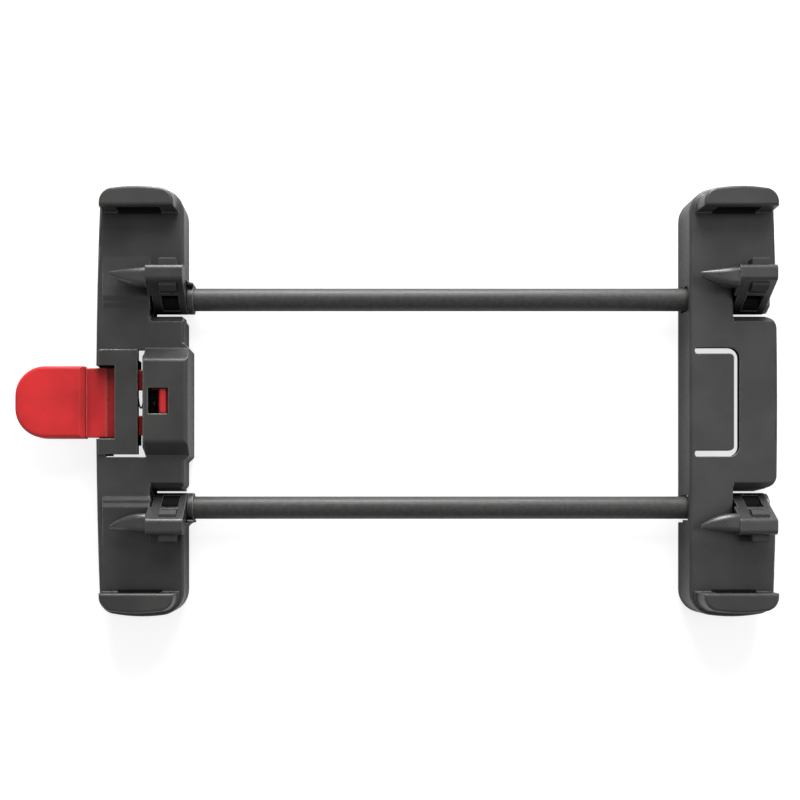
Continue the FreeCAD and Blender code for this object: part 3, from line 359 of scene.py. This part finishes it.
def oiled_steel(name, colour):
    """Dark steel with a film of oil: uneven gloss and a fine grain."""
    material, tree, shader, place = new_material(name)
    shader.inputs["Metallic"].default_value = 1.0
    film = noise(tree, place, FILM_SCALE, detail=4.0)
    grain = noise(tree, place, STAMPED_SCALE, detail=2.0)
    darker = tuple(STEEL_DARK * part for part in colour)
    tint = blend_colours(tree, ramp(tree, film, NARROW_SPAN), darker, colour)
    tree.links.new(tint, shader.inputs["Base Color"])
    tree.links.new(ramp(tree, film, WIDE_SPAN, STEEL_GLOSS), shader.inputs["Roughness"])
    add_relief(tree, shader, grain, STAMPED_RELIEF, STAMPED_DEPTH)
    return material


spring_steel = oiled_steel("oiled_steel", STEEL)
for side in ("upper", "lower"):
    dress(spring_steel, *(f"{side}_{piece}" for piece in ("crank", "latch_ring", "far_ring")))


def live_spring(name, node):
    """A copy of the stiff spring in its place and shape, in oiled steel; the stiff one is hidden."""
    mesh = nodes[node].data.copy()
    mesh.transform(nodes[node].matrix_world)
    mesh.materials.clear()
    mesh.materials.append(spring_steel)
    spring = bpy.data.objects.new(name, mesh)
    bpy.context.scene.collection.objects.link(spring)
    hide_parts(node)
    return spring


coil = live_spring("tab_coil", "tab_spring")
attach(coil, "frame")
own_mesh(coil)
for side in ("upper", "lower"):
    twisted = live_spring(f"{side}_twist_coil", f"{side}_torsion_spring")
    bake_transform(twisted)

# Floor: a plain white sheet under the frame, wide enough to fill the view.
# It stays white to the camera and keeps a soft shadow.
FLOOR_HALF, FLOOR_LEVEL = 3.0, -0.0002
PAPER_SCALE, PAPER_DARK, PAPER_PALE = 40.0, (0.42, 0.42, 0.42), (0.44, 0.44, 0.44)
SHEET_GLOW = 0.75
SHADE_REACH, SHADE_SPAN = 0.05, (0.6, 0.97)


def sheet_glow(tree):
    """Glow for the camera, which gloss shows too where nothing stands close above the sheet."""
    path = tree.nodes.new("ShaderNodeLightPath")
    shade = add_node(tree, "ShaderNodeAmbientOcclusion", Distance=SHADE_REACH)
    clear = ramp(tree, shade.outputs["AO"], SHADE_SPAN)
    share = combine(tree, "MULTIPLY", path.outputs["Is Glossy Ray"], clear)
    for kind in ("Is Camera Ray", "Is Transmission Ray"):
        share = combine(tree, "MAXIMUM", share, path.outputs[kind])
    return ramp(tree, share, (0.0, 1.0), (0.0, SHEET_GLOW))


floor_white, tree, shader, place = new_material("white_sheet")
shader.inputs["Roughness"].default_value = 0.9
shader.inputs["Specular IOR Level"].default_value = 0.0
shader.inputs["Emission Color"].default_value = (1.0, 1.0, 1.0, 1.0)
paper = blend_colours(tree, noise(tree, place, PAPER_SCALE, detail=3.0), PAPER_DARK, PAPER_PALE)
tree.links.new(paper, shader.inputs["Base Color"])
tree.links.new(sheet_glow(tree), shader.inputs["Emission Strength"])
floor_mesh = bpy.data.meshes.new("floor")
quarters = ((-1, -1), (1, -1), (1, 1), (-1, 1))
corners = [(FLOOR_HALF * x, FLOOR_HALF * y, FLOOR_LEVEL) for x, y in quarters]
floor_mesh.from_pydata(corners, [], [(0, 1, 2, 3)])
floor_mesh.materials.append(floor_white)
floor = bpy.data.objects.new("floor", floor_mesh)
bpy.context.scene.collection.objects.link(floor)

# Studio light: two broad soft boxes beyond the frame's top edge, with weaker ones over and beside it.
# The surround is a pale tent, brighter overhead than round the horizon.
SOFT_BOXES = (
    ("top_box", (0.05, 0.75, 0.6), 0.6, 7.6),
    ("low_box", (0.0, 1.0, 0.15), 0.6, 21.0),
    ("over_box", (0.5, 0.1, 0.95), 0.5, 0.65),
    ("right_box", (1.0, -0.1, 0.4), 0.6, 1.2),
    ("left_box", (-0.8, -0.7, 0.4), 0.6, 1.4),
)
TENT_SPAN, TENT_HORIZON, TENT_ZENITH = (0.0, 0.9), 0.25, 0.43
for name, place, size, power in SOFT_BOXES:
    lamp = bpy.data.lights.new(name, "AREA")
    lamp.shape = "DISK"
    lamp.size = size
    lamp.energy = power
    box = bpy.data.objects.new(name, lamp)
    box.location = place
    box.rotation_euler = (-Vector(place)).to_track_quat("-Z", "Y").to_euler()
    bpy.context.scene.collection.objects.link(box)

surround = bpy.data.worlds.new("pale_tent")
surround.use_nodes = True
tree = surround.node_tree
background = tree.nodes["Background"]
background.inputs["Color"].default_value = (1.0, 1.0, 1.0, 1.0)
direction = tree.nodes.new("ShaderNodeTexCoord")
height = tree.nodes.new("ShaderNodeSeparateXYZ")
tree.links.new(direction.outputs["Generated"], height.inputs["Vector"])
tent = ramp(tree, height.outputs["Z"], TENT_SPAN, (TENT_HORIZON, TENT_ZENITH))
tree.links.new(tent, background.inputs["Strength"])
bpy.context.scene.world = surround

# Camera: straight above the frame, a little below its middle, with a lens of about 56 mm.
# The lens is shifted so that the frame lies in the picture as it does in the photograph.
CAMERA_PLACE = (-0.0198, -0.0414, 0.454)
SENSOR_WIDTH, LENS = 36.0, 56.34
LENS_SHIFT_X, LENS_SHIFT_Y = 0.075, 0.15
NEAREST = 0.01
camera_data = bpy.data.cameras.new("camera")
camera_data.sensor_width = SENSOR_WIDTH
camera_data.lens = LENS
camera_data.shift_x = LENS_SHIFT_X
camera_data.shift_y = LENS_SHIFT_Y
camera_data.clip_start = NEAREST
camera = bpy.data.objects.new("camera", camera_data)
camera.location = CAMERA_PLACE
bpy.context.scene.collection.objects.link(camera)
bpy.context.scene.camera = camera
bpy.context.scene.view_settings.view_transform = "Standard"
